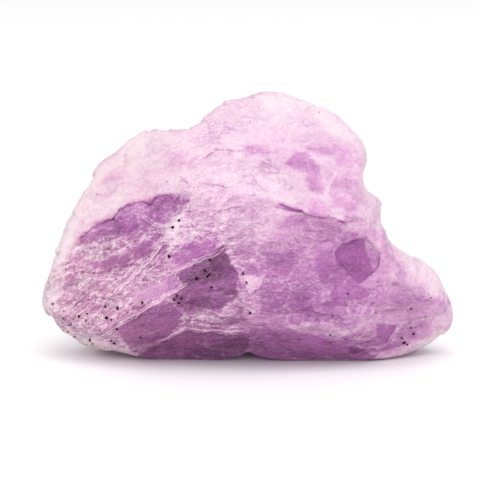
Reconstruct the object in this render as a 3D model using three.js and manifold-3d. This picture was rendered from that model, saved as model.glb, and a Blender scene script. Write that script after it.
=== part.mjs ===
// A rough kunzite crystal: one broken lump of lilac spodumene, about as long as a thumb, resting on its
// base.
//
// The stone is made in the way that breaking makes it. A rounded blank has the outline of the broad face.
// Flat fractures slice it down, chips take shallower flakes off and stop at a step, and a last flat cut
// under the stone is the face that it rests on.
//
// The broad face has a frame of its own: u to the right, v up, and w out of the stone, towards the viewer.
// The finished stone leans back by LEAN, and then z is up and y runs away from the viewer. All sizes are
// millimetres.
import * as THREE from "three";
import { mergeVertices } from "three/addons/utils/BufferGeometryUtils.js";
import Module from "manifold-3d";

const wasm = await Module();
wasm.setup();

// Driving dimensions
const LEAN = THREE.MathUtils.degToRad(10);
const FRONT_DEPTH = 15.5; // from the outline's plane to the furthest point of the blank's front
const BACK_DEPTH = 15;
const FAR = 80; // further than any point of the stone is from its middle

// How the blank is divided
const OUTLINE_STEPS = 132;
const RINGS = [0.975, 0.93, 0.86, 0.77, 0.66, 0.52, 0.36, 0.18]; // sizes, as shares of the outline
const SMOOTHING = 6; // how many times the loop is relaxed from each ring to the next
const FULLNESS = 2.5; // the power that rounds the blank over: 2 is an ellipsoid, and more is boxier

// The outline of the broad face, in (u, v), clockwise from the left tip
const MIDDLE = [-2, 14.5];
const OUTLINE = [
  [-29.9, 7.1], [-29.7, 9.7], [-28.9, 12.0], [-27.8, 14.9], [-26.4, 19.0], [-24.4, 22.2], // left end
  [-22.9, 24.6], [-22.4, 26.6], [-21.3, 28.1], [-19.1, 29.4], [-17.7, 31], [-14.8, 32.6], // left shoulder
  [-11.7, 32.6], [-9.5, 32.9], [-7.5, 33.4], [-6.3, 34.2], [-5.4, 35.4], [-4.2, 36.5], // up to the dome
  [-2.6, 36.9], [-0.7, 37.1], [0.9, 37.9], [2.8, 38.3], [4.6, 38.2], [6.8, 37.4], // dome
  [9.3, 36.4], [11.7, 35.4], [13.6, 34], [15.4, 32.4], [16.7, 30.8], [17.3, 29.3],
  [17.2, 27.8], [16.6, 26.5], [16.2, 25.4], [16.2, 24.6], [17.4, 23.8], [18.8, 23.2], // under the dome
  [19.6, 22.8], [19.4, 20.7], [19.3, 18.8], [19.7, 17.5], [20.5, 16.6], // knob and throat
  [22.5, 15.2], [25, 13.8], [27.2, 12.4], [28.2, 10.6], [28.7, 9.1], [29.3, 7.7], // top of the nose
  [29.9, 5.9], [29.7, 4.6], [28.7, 3.3], [26.8, 1.9], [23.3, 0.4], // tip of the nose
  [19.1, -0.7], [14.1, -1.1], [10.4, -0.9], [3.5, -0.9], [1.7, -0.3], [0.3, 0.4], // right foot
  [-0.3, 0.4], [-1.7, -0.4], [-3.8, -0.9], [-6.2, -1.2], [-9.9, -1.2], [-14.2, -0.6], // left foot
  [-18.3, 0.5], [-22.1, 0.9], [-23.9, 1.5], [-25.3, 2.7], [-27.1, 3.5], [-27.9, 5], [-29.5, 5.6],
];

// Flat fractures that slice the whole stone. Each goes through three points (u, v, w), and takes off
// what is on its outer side, the side away from the stone's middle.
const FRACTURES = {
  left_slope: [[-24.4, 17, 4.4], [-8.4, 23, 11.4], [-14.6, 32, 2.6]],
  crown: [[-3, 35.5, 2.6], [-8.4, 23, 11.4], [3, 22.5, 12.4]],
  dome_slope: [[2.5, 37, 2.6], [3, 22.5, 12.4], [15, 31, 2.6]],
  nose_under: [[19.1, 8, 10], [29.3, 4.4, 1.5], [22, 0.7, 3]],
  left_under: [[-7, 3.8, 10.2], [-16, 2.4, 8.4], [-5, -0.9, 4]],
  right_under: [[10.4, 2.9, 9.5], [0, 4.2, 10.5], [8, -0.9, 4]],
  back_shoulder: [[-23, 25, -2], [-11, 32, -3.5], [-10, 17, -12]],
  back_dome: [[-3, 36.5, -3], [11, 35, -2.5], [4, 24, -11.5]],
  back_middle: [[-9, 18, -12.6], [9, 20, -11.6], [0, 7, -13.8]],
  back_knob: [[17, 28, -3.5], [19.2, 20, -5], [8, 22, -11.2]],
  back_left: [[-29.5, 11, -2.2], [-28, 4, -2.6], [-17, 10, -11]],
  back_nose: [[29, 8, -3], [22, 15, -4.5], [13, 9, -12.6]],
  back_nose_under: [[28, 3, -3.2], [20, 0, -6.5], [14, 6, -12.4]],
  back_low: [[-14, 1, -8.5], [12, 0.5, -7.5], [-1, 8, -13.4]],
  back_left_under: [[-27, 3, -2.8], [-18, 0, -7], [-15, 7, -11.8]],
};

// Chips: each has an edge in (u, v), and a floor through three points (u, v, w). What is outside the
// floor, within the edge, is gone.
const CHIPS = {
  left_face: {
    floor: [[-24.4, 17, 4.2], [-8.4, 22, 10.6], [-9.9, 9, 12.4]],
    edge: [
      [-34, 16], [-26, 21], [-15.7, 23], [-12.3, 23.1], [-8.4, 23.2], [-5, 22.8], [-2.5, 22], [-1.5, 17],
      [-2, 10], [-10, 6], [-18, 3], [-30, -3],
    ],
  },
  dark_hollow: {
    floor: [[-9.9, 9, 12.1], [-4.5, 15.6, 13.2], [-1.4, 7, 11.8]],
    edge: [[-9.9, 8.7], [-7.7, 13], [-4.4, 15.6], [-2.8, 14.6], [-1.4, 9], [-0.6, 6], [-1.8, 3.5]],
  },
  lower_left: {
    floor: [[-22.9, 2.5, 7.2], [-9.9, 9, 12], [-4, 3.5, 9.6]],
    edge: [[-24, 1], [-22.9, 2.5], [-14.2, 6.5], [-9.9, 8.7], [-5, 6.5], [-0.6, 5.5], [0, -4], [-24, -4]],
  },
  right_face: {
    floor: [[-1.2, 18.1, 12.9], [17.7, 16.7, 9.3], [7.5, 4.4, 11.7]],
    edge: [
      [-6, 12], [-5, 18], [-2.5, 22], [2, 22.2], [6, 21.4], [9, 19.9], [13, 19.3], [16.5, 18.9], [19, 18.4],
      [22, 14], [17, 5], [12, -4], [-0.3, -4], [-2, 7],
    ],
  },
  right_window: {
    floor: [[11.9, 12.3, 10.6], [15.8, 9.9, 9.9], [18, 15.6, 8.3]],
    edge: [
      [11.9, 12.3], [12.6, 14.9], [14.1, 16], [16, 17], [18.9, 15.2], [18.7, 13.1], [17.7, 11.2],
      [15.8, 9.9],
    ],
  },
  dome_window: {
    floor: [[5.2, 27.6, 8.6], [6.8, 29, 7.4], [14.1, 24.2, 7.4]],
    edge: [[5.2, 27.6], [6.8, 29], [10.7, 26.8], [14.1, 24.2], [12.6, 23.1], [9, 23.6], [6.1, 25.7]],
  },
  nose_slope: {
    floor: [[21.3, 15.2, 3], [27.8, 9.4, 3], [20, 11.5, 8.6]],
    edge: [
      [19.8, 18.2], [19.2, 16], [19.4, 14], [21, 11.5], [24, 9], [27, 6.8], [31, 5], [34, 8], [30, 16],
      [23, 19],
    ],
  },
  back_flake: {
    floor: [[-20, 28, -2], [-8, 33, -3.2], [-12, 20, -8.6]],
    edge: [[-30, 28], [-14, 40], [-5, 38], [-5.5, 30], [-6, 24], [-9, 19.6], [-15, 18.4], [-22, 21]],
  },
  back_step: {
    floor: [[26, 11, -4], [13, 11, -11], [20, 4, -7.4]],
    edge: [[10, 16], [16, 19], [24, 18], [34, 12], [34, 2], [24, -4], [14, -4], [12, 3], [9.4, 9]],
  },
};

// The groove that parts the two feet
const GROOVE = [[-2.2, -3], [-1.3, 0], [-0.4, 0.9], [0.4, 0.9], [1.4, 0], [2.4, -3]];

/** A closed three.js geometry as a manifold-3d solid. */
function solidOf(geometry) {
  const bare = geometry.clone();
  bare.deleteAttribute("normal");
  bare.deleteAttribute("uv");
  const merged = mergeVertices(bare);
  return new wasm.Manifold(
    new wasm.Mesh({
      numProp: 3,
      vertProperties: new Float32Array(merged.attributes.position.array),
      triVerts: new Uint32Array(merged.index.array),
    }),
  );
}

/** A manifold-3d solid as a three.js geometry. */
function geometryOf(solid) {
  const mesh = solid.getMesh();
  const geometry = new THREE.BufferGeometry();
  geometry.setAttribute("position", new THREE.BufferAttribute(mesh.vertProperties, 3));
  geometry.setIndex(new THREE.BufferAttribute(mesh.triVerts, 1));
  geometry.computeVertexNormals();
  return geometry;
}

/** The same loop with each point drawn in between its neighbours, so that its small bays fade. */
function relaxed(loop) {
  const last = loop.length - 1;
  return loop.map((p, i) => {
    const before = loop[i > 0 ? i - 1 : last];
    const after = loop[i < last ? i + 1 : 0];
    return p.clone().multiplyScalar(2).add(before).add(after).divideScalar(4);
  });
}

/** The rounded blank: rings that shrink and grow smoother, from the outline to a pole on either side. */
function blank() {
  const corners = OUTLINE.map(([u, v]) => new THREE.Vector3(u, v, 0));
  const curve = new THREE.CatmullRomCurve3(corners, true, "centripetal");
  const rim = curve.getSpacedPoints(OUTLINE_STEPS).slice(0, OUTLINE_STEPS);
  const [middleU, middleV] = MIDDLE;
  const positions = [];
  const faces = [];

  const addRing = (loop, share, w) => {
    const first = positions.length / 3;
    for (const p of loop)
      positions.push(middleU + share * (p.x - middleU), middleV + share * (p.y - middleV), w);
    return first;
  };
  const height = (share) => Math.sqrt(1 - share ** FULLNESS);
  const join = (outer, inner, front) => {
    for (let i = 0; i < OUTLINE_STEPS; i++) {
      const next = (i + 1) % OUTLINE_STEPS;
      const [a, b, c, d] = [outer + i, outer + next, inner + next, inner + i];
      faces.push(...(front ? [a, c, b, a, d, c] : [a, b, c, a, c, d]));
    }
  };
  const close = (ring, w, front) => {
    const pole = positions.length / 3;
    positions.push(middleU, middleV, w);
    for (let i = 0; i < OUTLINE_STEPS; i++) {
      const next = (i + 1) % OUTLINE_STEPS;
      faces.push(...(front ? [ring + i, pole, ring + next] : [ring + i, ring + next, pole]));
    }
  };

  const rimRing = addRing(rim, 1, 0);
  for (const [depth, front] of [[FRONT_DEPTH, true], [-BACK_DEPTH, false]]) {
    let outer = rimRing;
    let loop = rim;
    for (const share of RINGS) {
      for (let pass = 0; pass < SMOOTHING; pass++) loop = relaxed(loop);
      const inner = addRing(loop, share, depth * height(share));
      join(outer, inner, front);
      outer = inner;
    }
    close(outer, depth, front);
  }

  const geometry = new THREE.BufferGeometry();
  geometry.setAttribute("position", new THREE.Float32BufferAttribute(positions, 3));
  geometry.setIndex(faces);
  return geometry;
}

/** The plane through three points, with its normal pointing away from the stone's middle. */
function planeThrough(points) {
  const plane = new THREE.Plane().setFromCoplanarPoints(...points.map((p) => new THREE.Vector3(...p)));
  const middle = new THREE.Vector3(...MIDDLE, 0);
  return plane.distanceToPoint(middle) > 0 ? plane.negate() : plane;
}

/** A block that fills everything beyond a plane. */
function beyond(plane) {
  const block = new THREE.BoxGeometry(2 * FAR, 2 * FAR, FAR).translate(0, 0, FAR / 2);
  const outward = new THREE.Vector3(0, 0, 1);
  block.applyQuaternion(new THREE.Quaternion().setFromUnitVectors(outward, plane.normal));
  const foot = plane.coplanarPoint(new THREE.Vector3());
  return block.translate(foot.x, foot.y, foot.z);
}

/** A prism over an edge in (u, v) that starts at a floor plane and ends outside the stone. */
function chip({ edge, floor }) {
  const shape = new THREE.Shape(edge.map(([u, v]) => new THREE.Vector2(u, v)));
  const prism = new THREE.ExtrudeGeometry(shape, { depth: FAR, bevelEnabled: false });
  const { normal, constant } = planeThrough(floor);
  const start = normal.z > 0 ? 0 : -FAR;
  const at = prism.attributes.position;
  for (let i = 0; i < at.count; i++) {
    const floorW = -(normal.x * at.getX(i) + normal.y * at.getY(i) + constant) / normal.z;
    at.setZ(i, at.getZ(i) + start + floorW);
  }
  return prism;
}

/** The groove between the feet, cut right through from front to back. */
function groove() {
  const shape = new THREE.Shape(GROOVE.map(([u, v]) => new THREE.Vector2(u, v)));
  return new THREE.ExtrudeGeometry(shape, { depth: 2 * FAR, bevelEnabled: false }).translate(0, 0, -FAR);
}

/** The stone, leaning back and cut flat underneath. */
function stone() {
  let solid = solidOf(blank());
  for (const points of Object.values(FRACTURES))
    solid = solid.subtract(solidOf(beyond(planeThrough(points))));
  for (const flake of Object.values(CHIPS))
    solid = solid.subtract(solidOf(chip(flake)));
  solid = solid.subtract(solidOf(groove()));

  const upright = geometryOf(solid).rotateX(Math.PI / 2 - LEAN);
  const ground = new THREE.BoxGeometry(2 * FAR, 2 * FAR, FAR).translate(0, 0, -FAR / 2);
  const resting = geometryOf(solidOf(upright).subtract(solidOf(ground)));

  resting.computeBoundingBox();
  const { min, max } = resting.boundingBox;
  return resting.translate(-(min.x + max.x) / 2, -(min.y + max.y) / 2, 0);
}

const lilac = new THREE.MeshStandardMaterial({
  color: 0xd3a5c9,
  roughness: 0.45,
  metalness: 0,
  flatShading: true,
});
const kunzite = new THREE.Mesh(stone(), lilac);
kunzite.name = "kunzite_crystal";

const group = new THREE.Group();
group.add(kunzite);

export default group;
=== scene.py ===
# %% [markdown]
# # A rough kunzite crystal
# Kunzite is the lilac kind of the mineral spodumene. This piece is one crystal, broken out of its rock: a
# domed lump with a low nose at its right end. It could be sculpted by hand, or made from a scan. Here the
# solid that the physics uses is the start, and every step after it copies something that happens to the
# real stone: it splits along its grain, flakes off in shards, shows its violet inside through smooth
# windows, and holds a few dark grains.

# %% The frame
import math
from collections import namedtuple
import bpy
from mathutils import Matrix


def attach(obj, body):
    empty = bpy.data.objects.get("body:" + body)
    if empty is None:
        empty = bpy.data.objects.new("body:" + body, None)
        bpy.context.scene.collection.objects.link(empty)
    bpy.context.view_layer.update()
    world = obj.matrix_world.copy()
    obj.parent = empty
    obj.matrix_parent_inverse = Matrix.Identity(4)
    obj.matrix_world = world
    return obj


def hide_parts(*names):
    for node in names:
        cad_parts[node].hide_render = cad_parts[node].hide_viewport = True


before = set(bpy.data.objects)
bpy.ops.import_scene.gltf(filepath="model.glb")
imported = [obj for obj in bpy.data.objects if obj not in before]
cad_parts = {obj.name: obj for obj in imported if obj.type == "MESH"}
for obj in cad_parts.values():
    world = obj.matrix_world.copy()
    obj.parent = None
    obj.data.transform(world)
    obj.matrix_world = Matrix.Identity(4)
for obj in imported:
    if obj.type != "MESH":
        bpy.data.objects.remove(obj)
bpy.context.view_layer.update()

from types import SimpleNamespace

import bmesh
import bpy
import numpy as np
from mathutils import Vector
from mathutils.bvhtree import BVHTree

MM = 0.001
cad_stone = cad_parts["kunzite_crystal"]


def short(number, digits=2):
    """A number cut short, to print it."""
    return round(float(number), digits)


# %% [markdown]
# ## The frame of the broad face
# The stone leans back a little, and its outline lies in one plane. It is easier to say where a mark is in
# that plane than in the room, so a point gets three numbers in millimetres: u to the right, v up the face,
# and w out of it, towards the viewer. The left tip lies in the plane, so it tells where the plane stands.

# %% Axes of the face
LEAN = math.radians(10)
AXES = np.array([
    [1, 0, 0],
    [0, math.sin(LEAN), math.cos(LEAN)],
    [0, -math.cos(LEAN), math.sin(LEAN)],
])
left_tip = min((vertex.co for vertex in cad_stone.data.vertices), key=lambda co: co.x)
ORIGIN = np.array([0, left_tip.y - left_tip.z * math.tan(LEAN), 0])


def to_face(places):
    """Room places in metres as (u, v, w) in millimetres."""
    return (np.asarray(places) - ORIGIN) / MM @ AXES.T


def to_room(places):
    """(u, v, w) places in millimetres as room places in metres."""
    return ORIGIN + np.asarray(places) * MM @ AXES


print("left tip (u, v, w):", to_face(left_tip).round(2))

# %% [markdown]
# ## The camera
# A long lens, a third of a metre away, looks straight at the broad face and a little down on the floor.
# A mark on the front is placed where this eye sees it, so the same eye also gives each point of the stone
# its place on the plane of the outline. Only points that face the eye take such a mark, and those that
# turn away from it fade out of it.

# %% Camera and the eye's chart, in mm
EYE = np.array([-1.16, 16.68, 320])
FRAME_WIDTH = 69.6
SENSOR = 36

camera = bpy.data.objects.new("camera", bpy.data.cameras.new("camera"))
bpy.context.scene.collection.objects.link(camera)
bpy.context.scene.camera = camera
camera.data.sensor_width = SENSOR
camera.data.lens = SENSOR * EYE[2] / FRAME_WIDTH
camera.location = to_room(EYE)
camera.rotation_euler = (math.pi / 2 - LEAN, 0, 0)


def seen(places):
    """Where the eye sees (u, v, w) places, as (u, v) on the plane of the outline."""
    reach = EYE[2] / (EYE[2] - places[:, 2])
    return EYE[:2] + (places[:, :2] - EYE[:2]) * reach[:, None]


print("lens:", round(camera.data.lens, 1), "mm")

# %% [markdown]
# ## Stone to carve
# The solid has few and long triangles. A voxel remesh turns a copy of it into an even skin of small
# quads, fine enough to hold a step as thin as a fingernail, and a light smoothing takes the razor edge
# off every arris, as handling does. The solid itself stays as it is, for the physics.

# %% A fine skin for the stone
VOXEL = 0.28 * MM


def with_modifiers_applied(piece):
    """Works the piece's modifiers into a mesh of its own."""
    graph = bpy.context.evaluated_depsgraph_get()
    mesh = bpy.data.meshes.new_from_object(piece.evaluated_get(graph))
    piece.modifiers.clear()
    piece.data = mesh


stone = bpy.data.objects.new("rough_stone", cad_stone.data.copy())
bpy.context.scene.collection.objects.link(stone)
remesh = stone.modifiers.new("even skin", "REMESH")
remesh.mode = "VOXEL"
remesh.voxel_size = VOXEL
rounding = stone.modifiers.new("worn arrises", "SMOOTH")
rounding.factor = 0.5
rounding.iterations = 30
with_modifiers_applied(stone)
print("skin:", len(stone.data.vertices), "points,", len(stone.data.polygons), "quads")


# %% Points, normals and neighbours of the skin
def read(collection, name, width, kind=float):
    """A mesh's numbers as a table with one row for each item."""
    values = np.empty(len(collection) * width, kind)
    collection.foreach_get(name, values)
    return values.reshape(-1, width)


FULLY_FACING = 0.25
points = to_face(read(stone.data.vertices, "co", 3))
normals = read(stone.data.vertex_normals, "vector", 3) @ AXES.T
edges = read(stone.data.edges, "vertices", 2, np.int32)
u, v = points.T[:2]
chart = seen(points)
faces_eye = np.clip(normals[:, 2] / FULLY_FACING, 0, 1)


def evened(values, rounds):
    """The values, with each replaced by the mean of its neighbours, so many times over."""
    ends = edges.T.ravel()
    others = edges[:, ::-1].T.ravel()
    counts = np.bincount(ends, minlength=len(points))
    for _ in range(rounds):
        values = np.bincount(ends, values[others], len(points)) / counts
    return values


print("share of the skin that faces the eye:", short((faces_eye > 0).mean()))

# %% [markdown]
# ## Noise
# Broken stone is rough at every size, but never the same way twice. Two kinds of noise cover it. Smooth
# noise swells and dips, and shards cut space into random cells, as a shattered face is cut into facets.
# Both are worked out for all points at once, from one fixed table of random numbers, so the stone comes
# out the same each time. Four large primes send neighbouring cells to places far apart in that table. Its
# numbers go from 0 to 1, with their middle at 0.5, and what swings both ways is counted from there.

# %% Smooth noise
TABLE_SIZE = 65536
MIDDLE = 0.5
TABLE = np.random.default_rng(7).random(TABLE_SIZE)
STRIDE_U, STRIDE_V, STRIDE_W, STRIDE_SEED = 73856093, 19349663, 83492791, 39916801


def random_of(cells, seed):
    """One fixed random number from 0 to 1 for each whole-numbered cell."""
    entry = cells[:, 0] * STRIDE_U ^ cells[:, 1] * STRIDE_V ^ cells[:, 2] * STRIDE_W ^ seed * STRIDE_SEED
    return TABLE[entry % TABLE_SIZE]


def noise(places, size, seed=0):
    """Smooth noise from -1 to 1, with bumps `size` wide: one number, or one for each axis."""
    scaled = places / np.asarray(size)
    base = np.floor(scaled).astype(np.int64)
    part = scaled - base
    part = part * part * (3 - 2 * part)
    total = np.zeros(len(places))
    for corner in np.ndindex(2, 2, 2):
        weight = np.prod(np.where(corner, part, 1 - part), axis=1)
        total += weight * random_of(base + corner, seed)
    return total * 2 - 1


def rough(places, size, octaves=4, seed=0):
    """Noise with finer noise on top of it, each layer half as large and half as high."""
    total = sum(noise(places, np.asarray(size) / 2**n, seed + n) / 2**n for n in range(octaves))
    return total / (2 - 2 / 2**octaves)


print("noise from", noise(points, 5).min().round(2), "to", noise(points, 5).max().round(2))


# %% Shards
def shards(places, size, seed=0):
    """For each place: three random numbers of its shard, and the way from the shard's middle."""
    scaled = places / np.asarray(size)
    base = np.floor(scaled).astype(np.int64)
    nearest = np.full(len(places), np.inf)
    way = np.zeros_like(scaled)
    numbers = np.zeros_like(scaled)
    for step in np.ndindex(3, 3, 3):
        cell = base + step - 1
        jitter = np.stack([random_of(cell, seed + k) for k in range(3)], axis=1)
        offset = scaled - cell - jitter
        distance = (offset**2).sum(axis=1)
        closer = distance < nearest
        nearest = np.where(closer, distance, nearest)
        way = np.where(closer[:, None], offset, way)
        numbers = np.where(closer[:, None], jitter, numbers)
    return numbers, way


print("shards 5 mm wide:", len(np.unique(shards(points, 5)[0][:, 0])))

# %% [markdown]
# ## The grain
# Spodumene splits along its length, and the splits show as fine steps and streaks. In this stone they
# climb to the right at the left end and run nearly level on the right. A third set of numbers follows
# them: how far along the grain a point is, how far across it, and how deep. The climbs and the dip are
# slopes, in millimetres for each millimetre.

# %% Places along the grain
STEEP, LEVEL = 0.5, -0.08
TURN, TURN_WIDTH = -6, 8
DIP = 0.45


def grain_places(places):
    """(along, across, deep) for (u, v, w) places."""
    right, up, out = places.T
    middle, swing = (STEEP + LEVEL) / 2, (LEVEL - STEEP) / 2
    climb = middle * right + swing * TURN_WIDTH * np.log(np.cosh((right - TURN) / TURN_WIDTH))
    return np.stack([right, up - climb + DIP * out, out], axis=1)


grain = grain_places(points)
print("across the grain the stone is", short(np.ptp(grain[:, 1]), 1), "mm")

# %% [markdown]
# ## Shards and splinters
# The grain decides how the stone breaks. Along it the surface splits into shards: each is tilted its own
# way, stands a little higher or lower than the next, and shows more or less of the violet inside. They
# could be cut one by one, but there are thousands, so each shard's own three random numbers set its tilt,
# its step and its colour. Real shards aren't straight-sided, so the places are pushed about a little before
# they are cut. Left of a seam down the middle they are long splinters, and right of it they are blocks.
# Along the skyline on the left the shards are coarser, as if chipped.


# %% Helpers for layers
def between(low, high, values):
    """0 at low, 1 at high, and a smooth change in between; low may be the larger."""
    part = np.clip((values - low) / (high - low), 0, 1)
    return part * part * (3 - 2 * part)


def at_least(least, mask):
    """The mask, from 0 to 1, squeezed so that it starts from `least`."""
    return least + (1 - least) * mask


def pushed(places, amount, size, seed):
    """The places, each pushed up to `amount` along every axis."""
    push = np.stack([rough(places, size, 2, seed + 5 * k) for k in range(3)], axis=1)
    return places + np.asarray(amount) * push


def saw(turns, drop):
    """A step for each turn: a slow rise from 0 to 1, then a fall within the last `drop` of the turn."""
    part = turns - np.floor(turns)
    return np.minimum(part / (1 - drop), (1 - part) / drop)


def read_off(line, at):
    """The line's second number where its first is `at`; the line is a list of corners."""
    return np.interp(at, *zip(*line))


# %% Splinters on the left, blocks on the right; the seam's corners are (v, u)
SEAM = [(2.2, 0.3), (5.4, -0.3), (9.4, -1.2), (12.6, -2.3), (15.9, -3.8), (22, -6)]
SEAM_BLUR = 1.5
TILTS = [0.7, 1.2, 0.8]
BENDS_IN_A_SHARD = 2.4
right_of_seam = between(-SEAM_BLUR, SEAM_BLUR, u - read_off(SEAM, at=v))
print("share right of the seam:", short(right_of_seam.mean()))


def split(seed, long_size, block_size, push):
    """Tilt, step and violet of shards that are long on the left of the seam and blocks on its right."""
    places = pushed(grain, push, np.asarray(long_size) / BENDS_IN_A_SHARD, seed)
    facts = []
    for size, its_seed in ((long_size, seed + 5), (block_size, seed + 8)):
        numbers, way = shards(places, size, its_seed)
        swings = numbers - MIDDLE
        tilt = (swings * TILTS * way).sum(axis=1)
        facts.append(np.stack([tilt, swings[:, 0], swings[:, 2]]))
    return facts[0] + (facts[1] - facts[0]) * right_of_seam


# %% Broad and fine shards: sizes and heights in mm
BROAD_TILT, BROAD_STEP = 0.42, 0.2
FINE_TILT, FINE_STEP = 0.1, 0.07
broad_tilt, broad_step, broad_violet = split(
    seed=15, long_size=[7.5, 2.4, 5], block_size=[5.5, 3.8, 4], push=[1.2, 0.5, 1.0])
fine_tilt, fine_step, fine_violet = split(
    seed=35, long_size=[2.8, 0.8, 1.8], block_size=[2.2, 1.4, 1.5], push=[0.6, 0.25, 0.5])
broad_relief = BROAD_TILT * broad_tilt + BROAD_STEP * broad_step
fine_relief = FINE_TILT * fine_tilt + FINE_STEP * fine_step
print("shards in mm:", short(np.ptp(broad_relief)), short(np.ptp(fine_relief)))

# %% Terraces: heights and widths in mm; their edges wander by so many widths
COARSE_HEIGHT, COARSE_WIDTH, COARSE_WANDER = 0.1, 2.2, 1.1
FINE_HEIGHT, FINE_WIDTH, FINE_WANDER = 0.03, 0.75, 2.0
FEWER_ON_BLOCKS = 0.7
coarse_turns = grain[:, 1] / COARSE_WIDTH + COARSE_WANDER * rough(grain, [9, 3, 7], 3, seed=50)
fine_turns = grain[:, 1] / FINE_WIDTH + FINE_WANDER * rough(grain, [4, 1.3, 4], 3, seed=53)
where_splintered = between(-0.1, 0.45, rough(grain, [6, 2, 5], 2, seed=55))
where_finely_splintered = between(-0.2, 0.4, noise(grain, [4, 1.2, 4], seed=58))
splintery = 1 - FEWER_ON_BLOCKS * right_of_seam
coarse_terraces = COARSE_HEIGHT * splintery * where_splintered * saw(coarse_turns, drop=0.14)
fine_terraces = FINE_HEIGHT * splintery * saw(fine_turns, drop=0.25) * where_finely_splintered
print("share splintered:", short(where_splintered.mean()))

# %% Swells, crumbs and chips: heights in mm
SWELL, CRUMB, CHIP = 0.36, 0.04, 1.2
swells = SWELL * rough(points, 11, 3, seed=10)
crumbs = CRUMB * rough(grain, [1.1, 0.55, 0.8], 2, seed=60)
skyline = between(0.75, 0.25, np.abs(normals[:, 2])) * between(6, -6, u) * between(10, 14, v)
chip_numbers, chip_way = shards(pushed(points, amount=0.5, size=2, seed=63), size=[2.6, 2.6, 7], seed=64)
chips = CHIP * skyline * ((chip_numbers - MIDDLE) * chip_way).sum(axis=1)
print("chips in mm:", short(np.ptp(chips)))

# %% [markdown]
# ## Marks on the front
# Noise makes a stone, but not this stone. The marks that give it its face are set where the eye sees them:
# clear windows, chipped hollows, some with painted shade in them, pale plates, white cracks, and creases
# with painted shade laid along them. A patch is a loop of corners and a crack is a line. The skin keeps how
# far each of its points is from them, and not the marks themselves, so that the material can draw them with
# an edge finer than the skin's own quads.


# %% Distance helpers
TINY = 1e-9


def way_to_line(places, corners, closed=False):
    """How far each (u, v) place is from a line through the corners: below 0 on the line's right side."""
    ends = corners[1:] + (corners[:1] if closed else [])
    gap = np.full(len(places), np.inf)
    side = np.ones(len(places))
    for start, end in zip(corners, ends):
        start, run = np.array(start), np.array(end) - np.array(start)
        along = np.clip((places - start) @ run / (run @ run), 0, 1)
        away = places - start - along[:, None] * run
        distance = np.linalg.norm(away, axis=1)
        closer = distance < gap
        gap = np.where(closer, distance, gap)
        side = np.where(closer, np.sign(run[0] * away[:, 1] - run[1] * away[:, 0]), side)
    return gap * side


def depth_inside(places, corners):
    """How far inside the loop each (u, v) place is; a place outside gets a number below 0."""
    inside = np.zeros(len(places), bool)
    for (u1, v1), (u2, v2) in zip(corners, corners[1:] + corners[:1]):
        crosses = (v1 > places[:, 1]) != (v2 > places[:, 1])
        meets_at = u1 + (places[:, 1] - v1) / (v2 - v1 + TINY) * (u2 - u1)
        inside ^= crosses & (places[:, 0] < meets_at)
    return np.where(inside, 1, -1) * np.abs(way_to_line(places, corners, closed=True))


# %% Chart with ragged edges
RAGGED_BY, RAGGED_SIZE = 0.3, 1.6
wander = np.stack([rough(points, RAGGED_SIZE, 3, seed) for seed in (80, 85)], axis=1)
ragged_chart = chart + wander * RAGGED_BY
print("edges wander by up to", short(np.abs(ragged_chart - chart).max()), "mm")

# %% Patches: violet (below 0 is paler), sunk (mm), calm (below 0 is milkier), soft (mm), corners
Patch = namedtuple("Patch", "violet sunk calm soft corners")

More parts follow.
